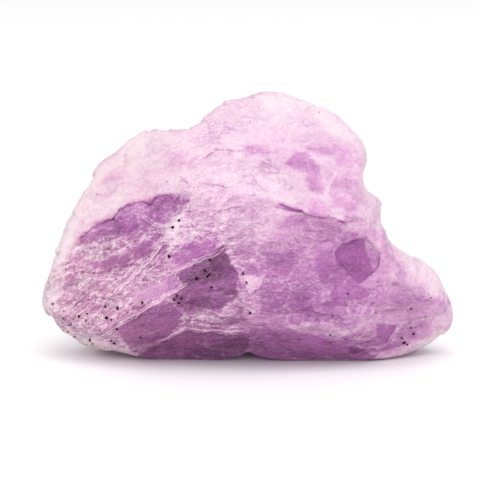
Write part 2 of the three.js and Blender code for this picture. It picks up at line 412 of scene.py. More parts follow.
SHADES = {
    "brow": Patch(0.04, 0.15, 0.5, 0.5, [
        (-22.6, 18.6), (-20.7, 19.9), (-18.8, 20.9), (-16.2, 22.6), (-12, 23.3), (-8.2, 23),
        (-9.6, 21.2), (-11.4, 20.6), (-11.6, 19.2), (-14.2, 18.8), (-18.6, 17.3), (-21.5, 17.5)]),
    "left band": Patch(0.03, 0.1, 0.3, 0.5, [
        (-25.5, 16.4), (-23.8, 17.7), (-21.9, 18.3), (-21.5, 17.3), (-24.9, 15.8)]),
    "left streak": Patch(0.17, 0.1, 0.65, 0.5, [
        (-22.9, 13.5), (-20, 14.2), (-17, 14.9), (-17.4, 13.5), (-20.3, 12.6), (-22.6, 12.6)]),
    "middle streak": Patch(0.14, 0.1, 0.65, 0.5, [
        (-17.7, 15.2), (-15.7, 16.2), (-13.9, 16.4), (-14.2, 15.2), (-15.9, 13.9)]),
    # The hollow faces down: its violet is partly its own colour and partly painted shade
    "hollow": Patch(0.34, 0, 0.45, 0.4, [
        (-3.9, 15.9), (-2.6, 13.5), (-1.5, 11.6), (-1.2, 9.9), (-2, 7.8), (-4, 6.6), (-6.5, 7),
        (-9, 6.4), (-11.5, 8.2), (-9.4, 10.2), (-10.4, 11.5), (-8.6, 12.6), (-6.2, 14.2)]),
    "under the left ridge": Patch(0.25, 0, 0.6, 0.45, [
        (-19.6, 3.9), (-15.9, 5.9), (-12, 8), (-9.6, 6.6), (-10, 4.5), (-11.5, 2.9), (-14, 1.9),
        (-17.4, 1.6)]),
    "left foot": Patch(0.32, 0, 0.4, 0.3, [
        (-16.1, 0), (-13.3, 1.7), (-9.2, 3.7), (-7.2, 3.5), (-3.1, 3.1), (0.3, 3.3), (0.3, 1.3),
        (-2.1, -2), (-7.2, -3), (-16, -3)]),
    "right foot": Patch(0.13, 0, 0, 0.35, [
        (-1.2, 3.8), (4.2, 3.4), (9, 2.5), (13.7, 1.3), (17.3, 0.9), (15, -3), (1, -3), (0.1, 0.9)]),
    "window": Patch(0.12, 0.15, 0.7, 0.15, [
        (12.6, 14.8), (12.9, 15.7), (15.7, 16.9), (16.8, 16.7), (17.3, 15.6), (19.2, 14.9),
        (18.8, 12.7), (17.7, 11.5), (16, 10.3), (14.8, 11.4), (13.6, 12.9)]),
    "skirt of the window": Patch(0.12, 0, 0.4, 0.4, [
        (9.8, 14), (10.2, 15.6), (12.4, 15), (13.8, 13), (15.9, 10.4), (17.6, 9.4), (16.8, 7.7),
        (13.3, 8.3), (10.4, 10.5)]),
    "shade under the dome": Patch(-0.04, 0.15, 0.3, 0.7, [
        (8.3, 18.6), (9.8, 19.3), (12.9, 19.3), (14.2, 17.9), (12.9, 16.7), (9.9, 15.4), (8.5, 17.7)]),
    "dome window": Patch(0.2, 0.1, 0.3, 0.5, [
        (5.4, 27.9), (7.2, 29.4), (9, 29), (10.4, 27.2), (10.1, 25.7), (7.5, 26.5)]),
    "low dome window": Patch(0.12, 0.05, 0.2, 0.6, [
        (8, 26.2), (10.2, 26.2), (11.2, 24.6), (10.6, 23.3), (9, 23.6)]),
    "right dome window": Patch(0.19, 0.05, 0.2, 0.5, [
        (12, 26), (13.6, 25.6), (15.6, 24.8), (15.3, 23.9), (12.8, 24.2)]),
    "lilac cheek": Patch(0.08, 0, 0.2, 0.8, [
        (-22.4, 28), (-20.8, 28.4), (-18.5, 29.6), (-17, 28.5), (-18, 26), (-20.6, 24.6), (-22, 25)]),
    "lilac temple": Patch(0.14, 0, 0.2, 0.7, [
        (-0.6, 30.4), (2.6, 30.4), (4, 29.4), (2, 28.8), (-0.2, 29)]),
    "lilac fold": Patch(0.1, 0, 0.1, 1, [(-12, 29.3), (-8.5, 29.5), (-8, 27), (-11.5, 26.3)]),
    "dome streak": Patch(0.15, 0.05, 0.2, 0.6, [
        (8.4, 30), (11.2, 30.4), (13.8, 29.6), (13.3, 28.7), (10.1, 29.1)]),
    "knob side": Patch(0.12, 0, 0.2, 0.6, [
        (11.8, 23.2), (14, 23), (16, 21.4), (14.5, 20.4), (12.3, 21.6)]),
    # Painted light, with the crease raised, so that it does not lie in shade
    "filled crease": Patch(-0.08, -0.6, 0.3, 1, [
        (18.9, 18.5), (20, 18.5), (20.3, 14.5), (22, 11.8), (21, 11), (19, 13.5), (18.4, 16)]),
    # Painted shade beneath the dome's edge, on the same line as the crease under the dome
    "fleck under the dome": Patch(0.42, 0.1, 0.2, 0.2, [
        (3.9, 21.9), (4.6, 22.2), (5.3, 21.9), (6.3, 21.4), (8.2, 20.9), (8, 20.5), (6.2, 20.9),
        (4.9, 21.5)]),
    "cheek of the dome": Patch(0.11, 0, 0.2, 1, [(12, 31), (15.5, 31), (17, 28), (15.8, 26.5), (13, 27.2)]),
    "throat": Patch(-0.2, 0, 0.2, 0.6, [
        (12.5, 18.6), (15.5, 18.9), (19, 19), (19.8, 16), (19.9, 14.6), (18.2, 15.6), (17.2, 17),
        (15.6, 17.8)]),
    "pale under the brow": Patch(-0.1, 0, 0, 0.8, [
        (-25, 15.6), (-21, 16.8), (-18.5, 16.6), (-19, 15.8), (-22, 15)]),
    "toe sill": Patch(-0.03, 0, -0.2, 0.8, [
        (11.6, 6.4), (13.4, 7.6), (16, 6.2), (19.5, 5.6), (22.6, 5), (22.8, 2), (18.5, 1),
        (15.6, 2), (13, 3.6)]),
    "under the cheek": Patch(0.09, 0, 0.12, 1, [
        (11.5, 26.8), (16.3, 27), (16.6, 24), (17.3, 21.6), (12, 22)]),
    # Painted light on the heel and the toe, against the shade by the floor
    "painted light on the heel": Patch(-0.28, 0, 0.2, 0.6, [
        (-26, 3), (-22, 2.3), (-17.5, 1.3), (-16, 0), (-20, -1), (-27, 1)]),
    "painted light on the toe": Patch(-0.28, 0, 0.2, 0.6, [
        (18, 0.3), (23, 1.5), (27.5, 3.4), (29.8, 4), (28, 0), (20, -2)]),
    "lilac slope": Patch(0.13, 0, 0.7, 0.4, [
        (-11.3, 14.5), (-8.4, 15.9), (-4.8, 16.6), (-4, 15), (-6.2, 14), (-9.9, 12.7)]),
    "dusk under the arc": Patch(0.07, 0, 0, 1.5, [(-6, 25), (3, 25), (3, 21), (-6, 21.5)]),
    "lower left dusk": Patch(0.08, 0, 0, 1, [
        (-28.5, 8), (-25, 9.3), (-21, 8), (-18.5, 6.5), (-18, 4.5), (-21, 2.2), (-26.5, 3.4)]),
    "low dusk": Patch(0.12, 0, 0, 0.8, [
        (2.5, 8), (5.8, 8.6), (9.4, 7.2), (10, 5.3), (5, 4.6), (2.4, 5.8)]),
    "pale nose": Patch(-0.04, 0, 0.2, 1.3, [
        (21, 14.2), (21.5, 13.2), (24, 11.5), (27.5, 8), (29.8, 5), (29.5, 2.5), (26, 4.5),
        (23.2, 7), (21.8, 9.5)]),
    "nose window": Patch(-0.03, 0.1, 0.4, 0.4, [
        (19, 9.5), (21.4, 10.2), (23.9, 8.6), (23.3, 7.5), (20.3, 7.2), (18.3, 7.5)]),
    "upper nose window": Patch(0.02, 0.05, 0.4, 0.4, [
        (20.9, 11.5), (23.5, 11.3), (24.4, 10.3), (22, 9.9)]),
    "right dusk": Patch(0.12, 0.1, 0, 0.6, [(5.9, 9.4), (7.5, 9.7), (9.3, 8.7), (8.7, 6.8), (6.1, 7.1)]),
    "middle dusk": Patch(0.08, 0.05, 0, 0.8, [
        (2, 13.5), (3.9, 14.9), (7.4, 15.4), (7, 13.5), (5.4, 11.5), (2.3, 11.6)]),
    "left dusk": Patch(0.16, 0.05, 0, 0.6, [
        (-1.2, 13.2), (0.6, 13.4), (2.2, 12.3), (1.4, 11.3), (-0.9, 11.3)]),
    "frosted slope": Patch(-0.09, -0.1, -0.2, 0.9, [
        (-12.8, 20.2), (-9.6, 20.8), (-8.3, 19.6), (-5.2, 18.4), (-7.6, 17), (-11.3, 14.9), (-12.1, 16.5)]),
    "right sill": Patch(-0.2, -0.2, 0.1, 0.5, [
        (5.4, 4.3), (9.3, 4.8), (13.3, 4.2), (15.1, 3), (11.9, 2.5), (7.5, 3.2)]),
    "frosted middle": Patch(0, 0, -0.15, 0.9, [
        (-1.2, 19.1), (2, 19.9), (4.2, 18.7), (3.5, 16.7), (-0.4, 15.9)]),
    "milky arc": Patch(0.14, -0.1, -0.15, 1, [
        (-2.3, 27.1), (0.3, 28.6), (3.9, 28.3), (4.9, 26), (6.9, 23.6), (5.4, 22.5), (1, 23.1),
        (-1.7, 24.5)]),
    "pale left end": Patch(-0.14, 0, 0, 1, [
        (-31, 8), (-30, 13), (-28, 17), (-25.5, 20.3), (-24.8, 18.8), (-26.2, 15.2), (-27, 10.9),
        (-27.3, 6.5), (-30, 4)]),
}
PANES = {
    # Painted shadow under the brow, over a real dip
    "shaded hollow under the brow": Patch(0.13, 0.3, 0.2, 0.4, [
        (-16.2, 22.3), (-14.6, 22.8), (-13.8, 22), (-12.8, 22.9), (-11.3, 23.3), (-9.8, 22.6), (-8.6, 22.4),
        (-10.7, 20.8), (-12.3, 21.6), (-13.2, 20.6), (-15.4, 21.4)]),
    "clean spot under the brow": Patch(0.1, 0.1, 0.6, 0.4, [
        (-19.9, 19.6), (-18.2, 20.4), (-16.4, 20.6), (-15.8, 18.4), (-17.4, 17.3), (-19.2, 17.9)]),
    "heart of the window": Patch(0.1, 0.1, 0.7, 0.15, [
        (12.6, 14.7), (13.7, 16.1), (15, 16.6), (16.7, 16.6), (17.3, 15), (17.8, 13.7), (18.3, 12),
        (17.5, 11.4), (16.1, 10.4), (14.6, 11.8), (12.9, 13.6)]),
    "head of the hollow": Patch(0.12, 0.1, 0.3, 0.3, [
        (-6, 13.4), (-3.6, 14.9), (-2.6, 13.5), (-2.2, 11.8), (-4.6, 10.4), (-6.6, 11.4)]),
    "dome fleck": Patch(0.1, 0.05, 0.2, 0.8, [(8.3, 25.1), (10.1, 25.4), (10.7, 23.9), (9.3, 23.5)]),
    "nose shade": Patch(0.12, 0, 0.4, 0.5, [
        (23.3, 3.6), (24.9, 4.7), (26.9, 4.2), (26.4, 2.5), (24.1, 1.9)]),
    "small shard": Patch(0.09, 0.1, 0.8, 0.15, [(18.6, 4.5), (21.4, 4.1), (20.1, 1.4), (18.8, 3)]),
    "foot shard": Patch(0.22, 0.05, 0.7, 0.15, [(14.6, 1.1), (17.3, 0.9), (15.9, 0), (14.6, 0)]),
    "islet": Patch(-0.22, -0.15, 0.2, 0.3, [(-0.7, 11.5), (2, 11.3), (1.8, 9.6), (0.1, 9.1)]),
    "plate": Patch(-0.04, -0.1, 0.8, 0.4, [
        (-16.6, 9), (-14.5, 10.3), (-11.3, 11), (-9.6, 10.4), (-11.3, 9.2), (-13.7, 8), (-15.8, 7.8)]),
    "pale shard": Patch(0.02, -0.1, 0.6, 0.15, [
        (8.9, 22.1), (10.1, 22.5), (11.8, 21.3), (11.3, 20.2), (9.1, 20.6)]),
}

# %% Laying the patches
DEEPEST = 3


def soft_widths_inside(patch):
    """How deep each point is in the patch, in widths of its soft edge."""
    return depth_inside(ragged_chart, patch.corners) / patch.soft


def laid(patches):
    """For each point: how deep it is in its nearest patch, in widths of the soft edge, and the violet."""
    depth = np.full(len(points), -float(DEEPEST))
    patch_violet = np.zeros(len(points))
    for patch in patches.values():
        inside = np.clip(soft_widths_inside(patch), -DEEPEST, DEEPEST)
        nearer = inside > depth
        depth = np.where(nearer, inside, depth)
        patch_violet = np.where(nearer, patch.violet * faces_eye, patch_violet)
    return depth, patch_violet


sunk = np.zeros(len(points))
calm = np.zeros(len(points))
frosted = np.zeros(len(points))
for patch in [*SHADES.values(), *PANES.values()]:
    mask = between(-1, 1, soft_widths_inside(patch)) * faces_eye
    sunk += patch.sunk * mask
    calm = np.where(np.abs(patch.calm * mask) > np.abs(calm), patch.calm * mask, calm)
    frosted = np.maximum(frosted, -patch.violet * mask)
shade_depth, shade_violet = laid(SHADES)
pane_depth, pane_violet = laid(PANES)
print(len(SHADES), "shades and", len(PANES), "panes, sunk by up to", short(sunk.max()), "mm")

# %% Cracks and creases: height (mm), strength of the colour, corners
Crack = namedtuple("Crack", "height strength corners")

CRACKS = {
    "long crack": Crack(0.1, 1, [
        (-12.7, 15.7), (-13.5, 14.7), (-14.8, 13.4), (-16, 12), (-17.8, 10.4), (-19.2, 9.2)]),
    "slanting ridge": Crack(0.07, 0.5, [(-3.9, 15.2), (-7.2, 13.6), (-10.4, 12.3), (-14.1, 11.5)]),
    "edge of the hollow": Crack(0.1, 0.7, [
        (-9.2, 10.2), (-13.3, 7.8), (-16.1, 5.9), (-18.6, 4.5), (-20.2, 3.3), (-22, 2.5)]),
    "dome scratch": Crack(0.08, 0.7, [(12.7, 26.3), (11.6, 24.6), (11.4, 23.4)]),
    "knob edge": Crack(0.1, 0.5, [(17.8, 21.5), (17.4, 20.2), (17.5, 18.8)]),
    "nose edge": Crack(0.06, 0.35, [(19.2, 9.6), (18.3, 8.6), (17.5, 7.5), (16.9, 6.4)]),
    "foot edge": Crack(0.06, 0.35, [(15.6, 1.4), (16.9, 0.8), (18.4, 0.9), (20.1, 1.5), (21.6, 3.8)]),
    "brow curl": Crack(0.06, 0.4, [(-15.2, 20.1), (-13.8, 19.2), (-12.3, 18.6), (-10.8, 19.4), (-9, 20.8)]),
    "foot rim": Crack(0.05, 0.6, [(-12.2, 2.4), (-9.2, 3.9), (-7.2, 3.7), (-3.1, 3.3), (0, 3.5)]),
    "right ledge": Crack(0.06, 0.25, [(0.2, 7.6), (3, 7.9), (5.5, 10.2), (9.4, 10.6), (11.6, 9.8)]),
}
# Creases are grooves with painted shade laid along them; under the dome the shade is painted beneath its
# edge
CREASES = {
    "top of the brow": Crack(-0.08, 1, [
        (-24.4, 17), (-21.5, 19.1), (-19.8, 19.7), (-18.6, 21), (-16.4, 22.3), (-15.7, 22.6),
        (-14.6, 21.7), (-13.3, 23.1), (-11.9, 23), (-10.9, 22.3), (-9.9, 23.4)]),
    "dome crease": Crack(-0.15, 1, [(-6.2, 28.6), (-4.3, 29.8), (-2.7, 29.7), (-1.1, 29.7)]),
    "short crease": Crack(-0.1, 0.8, [(-5.6, 24.8), (-3.1, 24.4)]),
    "brow crease": Crack(-0.1, 0.8, [(-4.6, 20.7), (-1.5, 21.4)]),
    "fleck": Crack(-0.08, 0.8, [(-9.6, 25.8), (-9, 25)]),
    "under the dome": Crack(-0.2, 0.9, [
        (4, 21.5), (6.3, 20.8), (8, 20.6), (9.8, 19.9), (12, 19.9), (13.8, 19.2)]),
    "side of the hollow": Crack(-0.08, 0.7, [(-3.7, 15.8), (-2.6, 13.5), (-1.5, 11.6), (-1, 9.9)]),
    "left fold": Crack(-0.1, 0.8, [(-24, 12.2), (-21.5, 12), (-19, 12.8), (-16.6, 13.2)]),
    "low fold": Crack(-0.08, 0.7, [(-24.5, 7.6), (-21.8, 8.4), (-19.9, 8)]),
    "edge of the window": Crack(-0.05, 0.6, [(19.1, 14.6), (18.7, 12.8), (17.7, 11.6), (16.2, 10.4)]),
    "over the nose window": Crack(-0.05, 0.5, [(21.2, 10.4), (22.4, 10.2), (23.9, 9.7)]),
    "ledge shadow": Crack(-0.08, 0.6, [(2.6, 6.4), (5.2, 6), (8.6, 6.5), (11.2, 5.9)]),
}
NEAR, LIP = 0.8, 0.25


def traced(cracks):
    """The way to the nearest crack, how much it counts here, and the height that the cracks add."""
    way = np.full(len(points), NEAR)
    strength = np.zeros(len(points))
    added = np.zeros(len(points))
    for crack in cracks.values():
        to_crack = way_to_line(ragged_chart, crack.corners)
        nearer = np.abs(to_crack) < np.abs(way)
        way = np.where(nearer, to_crack, way)
        strength = np.where(nearer, crack.strength, strength)
        added += crack.height * np.exp(-(to_crack / LIP) ** 2) * faces_eye
    return way, between(NEAR, 0.5 * NEAR, np.abs(way)) * strength * faces_eye, added


crack_way, crack_near, crack_height = traced(CRACKS)
crease_way, crease_near, crease_height = traced(CREASES)
print(len(CRACKS), "cracks and", len(CREASES), "creases")

# %% [markdown]
# ## Violet and milk
# How violet a spot looks depends on how far the eye gets into the stone there. The crown above the brow is
# full of fine cracks, which look milky, and the body below it is clearer and deepens towards the feet. Thin
# ends and the rim are painted paler, as light that comes through them, so a ray through the stone measures
# how thick it is behind each point. That holds all round the stone. The shards add their own step of
# colour, and the marks add theirs.

# %% Crown and body: the brow line between them, (u, v), and how soft it is at each u, in mm
BROW = [(-30, 12), (-27.3, 13.5), *CREASES["top of the brow"].corners, (-7, 21.6), (-3.3, 18.9),
        (2, 18.2), (6.1, 20.6), (10.4, 19.9), (14.8, 19.3), (18.4, 18.7), (23, 12), (29, 8)]
SOFTNESS = [(-22, 0.6), (-10, 0.6), (-7, 4), (1, 4), (5, 0.6), (13, 0.8), (17, 2.5)]
TEETH, WANDER_BEHIND, SOFTER_BEHIND = 1.2, 2.5, 1.5
brow_height = read_off(BROW, at=chart[:, 0]) + TEETH * rough(points, 2, 3, seed=97)
brow_height += WANDER_BEHIND * noise(points, 7, seed=90) * (1 - faces_eye)
softness = read_off(SOFTNESS, at=chart[:, 0]) + SOFTER_BEHIND * (1 - faces_eye)
over_brow = np.clip((chart[:, 1] - brow_height) / softness, -DEEPEST, DEEPEST)
crown = between(-1, 1, over_brow)
print("share of the skin on the crown:", short(crown.mean()))

# %% Thickness, in mm
tree = BVHTree.FromObject(stone, bpy.context.evaluated_depsgraph_get())
START, THICK = 0.5, 30
EVENED_OVER = 8
inward = -normals @ AXES
starts = to_room(points) + inward * START * MM


def thickness(ways):
    """How far each point can see into the stone along its way, in mm."""
    hits = [tree.ray_cast(Vector(start), Vector(way))[3] for start, way in zip(starts, ways)]
    return evened(np.clip([START + (hit or 0) / MM for hit in hits], 0, THICK), EVENED_OVER)


thin = between(0.8 * THICK, 0.25 * THICK, thickness(inward))
through = np.where(normals[:, 2] > 0, -1, 1)[:, None] * AXES[2]
rim = between(12, 2, thickness(through))
print("share thin:", short(thin.mean()), "share near the rim:", short(rim.mean()))

# %% Depth of colour: the body's own, and what is deeper or paler than that
BODY, DEEPER_FEET, DEEPER_RIGHT = 0.46, 0.27, 0.06
PAINTED_LIGHT_LOW_ENDS, LIGHT_THROUGH_THIN, LIGHT_THROUGH_RIM = 0.16, 0.16, 0.12
SHARD, LESS_ON_BLOCKS, TILTED_SHARD = 0.16, 0.06, 0.06
FINE_SHARD, TILTED_FINE_SHARD = 0.04, 0.03
low_down = between(9, 0, v)
between_the_ends = between(-24, -14, u) * between(28, 21, u)
on_the_right = between(-4, 4, u) * between(21, 17, u) * between(17, 12, v)
# Low down, painted light makes the ends paler against the shade by the floor; between the ends the colour
# deepens
violet = BODY + (DEEPER_FEET * between_the_ends - PAINTED_LIGHT_LOW_ENDS) * low_down + DEEPER_RIGHT * on_the_right
# Painted light: thin parts and the rim are paler, as if lit through
violet -= LIGHT_THROUGH_THIN * thin
violet -= LIGHT_THROUGH_RIM * rim
violet += (SHARD - LESS_ON_BLOCKS * right_of_seam) * broad_violet + TILTED_SHARD * broad_tilt
violet += FINE_SHARD * fine_violet + TILTED_FINE_SHARD * fine_tilt
print("violet from", short(violet.min()), "to", short(violet.max()))

# %% Relief onto the skin: how smooth the crown is, how much that takes away, and where relief fades out
CROWN_SMOOTH = 0.35
BROAD_TAKEN, FINE_TAKEN = 0.5, 0.85
GROUND = 0.35
EVENED_FOR_HOLLOWS = 5
smooth = np.clip(calm + CROWN_SMOOTH * crown, 0, 1)
relief = swells + broad_relief * (1 - BROAD_TAKEN * smooth)
relief += (1 - FINE_TAKEN * smooth) * (fine_relief + coarse_terraces + fine_terraces + crumbs)
relief += chips + crack_height + crease_height - sunk
relief *= between(0, GROUND, to_room(points)[:, 2] / MM)
# How hollow each point is: the material paints shade into the hollows by it, and a little light onto the
# ridges
hollowness = evened(relief, EVENED_FOR_HOLLOWS) - relief

room_points = to_room(points + normals * relief[:, None])
room_points[:, 2] = np.maximum(room_points[:, 2], 0)
stone.data.vertices.foreach_set("co", room_points.ravel())
stone.data.update()
print("relief from", short(relief.min()), "to", short(relief.max()), "mm;",
      "hollows", short(hollowness.std(), 3))

# %% [markdown]
# ## Shader maths
# A material is a tree of nodes, and a long tree is hard to read. It could be wired by hand, link by link.
# Here each socket is wrapped in a small class, so that sums are written as sums, and every other node comes
# from one method, which reads like a line of a recipe.


# %% Values and recipes
class Value:
    """A socket of a material, used in sums as a number is."""

    def __init__(self, recipe, socket):
        self.recipe = recipe
        self.socket = socket

    def _sum(self, operation, first, second):
        return self.recipe.node("ShaderNodeMath", {"operation": operation}, {0: first, 1: second})

    def __add__(self, other):
        return self._sum("ADD", self, other)

    def __radd__(self, other):
        return self._sum("ADD", other, self)

    def __sub__(self, other):
        return self._sum("SUBTRACT", self, other)

    def __rsub__(self, other):
        return self._sum("SUBTRACT", other, self)

    def __mul__(self, other):
        return self._sum("MULTIPLY", self, other)

    def __rmul__(self, other):
        return self._sum("MULTIPLY", other, self)


class Recipe:
    """The node tree of one new material."""

    def __init__(self, name):
        self.material = bpy.data.materials.new(name)
        self.material.use_nodes = True
        self.tree = self.material.node_tree
        self.tree.nodes.clear()

    def node(self, kind, settings=None, sockets=None, output=0):
        """Adds a node, sets it up, feeds its sockets with values or links, and returns its outputs."""
        node = self.tree.nodes.new(kind)
        for name, setting in (settings or {}).items():
            if name == "stops":
                self._set_stops(node.color_ramp, setting)
            else:
                setattr(node, name, setting)
        for name, value in (sockets or {}).items():
            if isinstance(value, Value):
                self.tree.links.new(value.socket, node.inputs[name])
            else:
                node.inputs[name].default_value = value
        if isinstance(output, tuple):
            return [Value(self, node.outputs[name]) for name in output]
        return Value(self, node.outputs[output]) if node.outputs else None

    def _set_stops(self, ramp, stops):
        while len(ramp.elements) < len(stops):
            ramp.elements.new(1)
        for element, (position, color) in zip(ramp.elements, stops):
            element.position = position
            element.color = (*color, 1)


# %% [markdown]
# ## The finish of the kunzite
# Kunzite is a clear crystal, but this piece is full of tiny cracks, and each crack scatters light. So it
# looks milky where it is cracked and violet where it is sound, and its fresh edges show as white threads.
# A picture could be wrapped round it, but then the pattern would stop at the surface and stretch on the
# sides. Here the pattern is worked out at each place from noise that follows the grain. One number, the
# tone, gathers all that makes a spot darker or paler, and two ramps turn it into colour: a dusty one for
# the left end and a purple one for the right. The light goes into the stone too: some passes through, some
# is scattered just below the surface, and the inside absorbs green more than red and blue.

# %% Numbers for the material: how much of each place's frost and clearness comes from what
FROST_CROWN, FROST_CALM, FROST_PALE, CLEARER_RIGHT = 0.16, 0.9, 1.2, 0.1
CLEAR_WANDER, CLEAR_CALM, CLEAR_BROW = 6, 0.4, 0.4
STEEPER = 0.5
rugged = np.clip(1 - smooth - CROWN_SMOOTH * crown, 0, 1)
frost = MIDDLE + FROST_CROWN * crown - FROST_CALM * calm + FROST_PALE * frosted
frost -= CLEARER_RIGHT * between(-5, 10, u) * (1 - crown)
near_the_brow = between(-26, -22, u) * between(-6, -10, u) * between(14, 18, v) * (1 - crown)
clear = between(-40, 10, u + CLEAR_WANDER * noise(points, 9, seed=95))
clear = clear + CLEAR_CALM * calm + CLEAR_BROW * near_the_brow
left = between(5, -5, u) * at_least(0.5, faces_eye)
print("frost from", short(frost.min()), "to", short(frost.max()))

# %% Numbers kept on the skin; the steep grain carries the scratches
for name, values in {
    "violet": violet, "over brow": over_brow, "shade depth": shade_depth, "shade violet": shade_violet,
    "pane depth": pane_depth, "pane violet": pane_violet, "crack way": crack_way, "crack near": crack_near,
    "crease way": crease_way, "crease near": crease_near, "rugged": rugged, "frost": np.clip(frost, 0, 1),
    "clear": np.clip(clear, 0, 1), "left": left, "hollowness": hollowness,
}.items():
    stone.data.attributes.new(name, "FLOAT", "POINT").data.foreach_set("value", values)
steep_grain = grain - np.outer(u, [0, STEEPER, 0])
for name, places in {"grain": grain, "steep grain": steep_grain}.items():
    stone.data.attributes.new(name, "FLOAT_VECTOR", "POINT").data.foreach_set("vector", places.ravel())
print("numbers kept for each point:", len(stone.data.attributes))

# %% Kunzite: what its nodes share
kunzite = Recipe("kunzite")


def tell(made):
    """Prints what a cell made, and how many nodes the kunzite has by then."""
    print(made + ";", len(kunzite.tree.nodes), "nodes so far")


def stored(name, output="Fac"):
    """A number, or a vector, that the skin keeps for each of its points."""
    return kunzite.node("ShaderNodeAttribute", {"attribute_name": name}, output=output)


def vector(operation, first, second, third=(0, 0, 0)):
    """One operation on vectors."""
    return kunzite.node("ShaderNodeVectorMath", {"operation": operation}, {0: first, 1: second, 2: third})


def measured(place, size):
    """The place, counted in marks of that (along, across, deep) size."""
    return vector("MULTIPLY", place, tuple(1 / length for length in size))


def veil(place, size, detail=4, roughness=0.6, distortion=0.0, output="Fac"):
    """Noise from 0 to 1 with marks of that size; distortion makes them curl, as fibres do round a knot."""
    return kunzite.node("ShaderNodeTexNoise", {}, {
        "Vector": measured(place, size), "Scale": 1, "Detail": detail, "Roughness": roughness,
        "Distortion": distortion}, output=output)


def bent(place, size, amount):
    """The place, pushed about by noise."""
    push = veil(place, size, detail=2, output="Color")
    return vector("MULTIPLY_ADD", push, (2 * amount,) * 3, vector("SUBTRACT", place, (amount,) * 3))


def math_node(operation, first, second=0.0):
    """One operation on numbers, for those that have no sign of their own in Python."""
    return kunzite.node("ShaderNodeMath", {"operation": operation}, {0: first, 1: second})


def step_up(value, low, high):
    """0 below low, 1 above high, and a smooth change in between."""
    return kunzite.node("ShaderNodeMapRange", {"interpolation_type": "SMOOTHSTEP"}, {
        "Value": value, "From Min": low, "From Max": high, "To Min": 0, "To Max": 1})


def thread(value, level, width):
    """1 where the value crosses the level, falling to 0 at the width on both sides."""
    return 1 - step_up(math_node("ABSOLUTE", value - level), 0, width)


def facets(place, size):
    """For facets of that size: their step in tone, and their slope."""
    scaled = measured(place, size)
    tint, middle = kunzite.node("ShaderNodeTexVoronoi", {"feature": "F1"}, {
        "Vector": scaled, "Scale": 1}, output=("Color", "Position"))
    slope = kunzite.node("ShaderNodeVectorMath", {"operation": "DOT_PRODUCT"}, {
        0: vector("SUBTRACT", scaled, middle), 1: vector("SUBTRACT", tint, (MIDDLE,) * 3)}, output="Value")
    step = kunzite.node("ShaderNodeSeparateColor", {}, {"Color": tint}, output="Red") - MIDDLE
    return step, slope


HAIR_CORE = 0.3


def hairs(place, size, width):
    """Thin lines of even width, along the edges of facets of that size."""
    edge = kunzite.node("ShaderNodeTexVoronoi", {"feature": "DISTANCE_TO_EDGE"}, {
        "Vector": measured(place, size), "Scale": 1})
    return 1 - step_up(edge, HAIR_CORE * width, width)


def flakes(turns, drop):
    """How far up its flake a spot is: each turn is a slow rise, then a sharp fall at the flake's lip."""
    part = math_node("FRACT", turns)
    return math_node("MINIMUM", part * (1 / (1 - drop)), (1 - part) * (1 / drop))


# %% [markdown]
# ## Marks that grow on the stone
# Seen close, the stone has clouds, rags, wisps, fibres and grit, each finer than the last, and flat facets
# with bright splits between them. They could be one noise with many octaves, but then they would all have
# the same shape. Here each is a noise of its own, stretched along the grain. The clouds, rags and wisps are
# crumpled first, so that none of them runs dead straight, and the curls wind back on themselves.

# %% Kunzite: its places and what the skin keeps
straight = stored("grain", "Vector")
crumpled = bent(bent(straight, (3, 1.5, 3), amount=0.9), (0.8, 0.5, 0.8), amount=0.25)
rugged_here = stored("rugged")
on_left = stored("left")
lively = at_least(0.35, rugged_here) * at_least(0.55, on_left)
# how hollow each spot is, for painted shade in the hollows
hollow = stored("hollowness")
frosting = stored("frost") - MIDDLE
tell("places")

# %% Kunzite: the marks that grow on it, with their sizes in mm along, across and into the grain
LARGE_FACETS, MIDDLE_FACETS = (6.5, 3.2, 5), (2.7, 1.5, 2.2)
clouds = veil(crumpled, (7, 3.5, 5), detail=3)
ragged = veil(crumpled, (3.4, 1.5, 2.6), detail=7, roughness=0.66)
wisps = veil(crumpled, (1.5, 0.55, 1.1), detail=5)
fibres = veil(straight, (2.4, 0.4, 1.4), detail=3, distortion=0.5)
grit = veil(straight, (0.32, 0.24, 0.3), detail=3, roughness=0.8)
curls = veil(straight, (2.6, 1.2, 2.0), detail=3, roughness=0.55, distortion=1.4)
small_curls = veil(straight, (1.3, 0.7, 1.0), detail=2, roughness=0.55, distortion=1.2)
large_step, large_slope = facets(crumpled, LARGE_FACETS)
middle_step, middle_slope = facets(crumpled, MIDDLE_FACETS)
splits = hairs(crumpled, LARGE_FACETS, width=0.045)
splinters = hairs(bent(straight, (1.6, 0.6, 1.2), amount=0.25), (4.5, 0.8, 2.2), width=0.075)
steep = bent(stored("steep grain", "Vector"), (1.2, 0.7, 1), amount=0.45)
scratches = hairs(steep, (2.4, 1.1, 1.8), width=0.07)
tell("marks that grow")

# %% Kunzite: frosting and flakes; a swing is a mark that is counted from its middle
cloud_swing, ragged_swing, wisp_swing, grit_swing = [mark - MIDDLE for mark in (clouds, ragged, wisps, grit)]
cover = step_up(ragged + frosting * 0.5, 0.47, 0.6)
streaks = step_up(fibres + frosting * 0.3, 0.52, 0.64)
flake = flakes(curls * 7 + ragged * 2, drop=0.12)
flaking = step_up(clouds, 0.44, 0.56)
scallop = flakes(clouds * 6 + wisps * 0.8, drop=0.1)
tell("frosting and flakes")

# %% [markdown]
# ## Marks listed one by one
# The patches and lines of the front come back here, as the distances that the skin keeps. Their edges are
# pushed about by the rags and wisps, so that they break up as real edges do. A crack in clear stone shines
# along both of its lips, and leaves a faint shadow on each side. A crease gets only painted shade.

# %% Kunzite: the listed marks, with ragged edges
crown_here = step_up(stored("over brow") + ragged_swing * 2 + wisp_swing * 2, -0.7, 0.7)
shade = step_up(stored("shade depth") + ragged_swing * 4 + wisp_swing * 2.5, -0.8, 0.8)
pane = step_up(stored("pane depth") + wisp_swing * 2, -0.6, 0.6)
tell("crown, shades and panes")

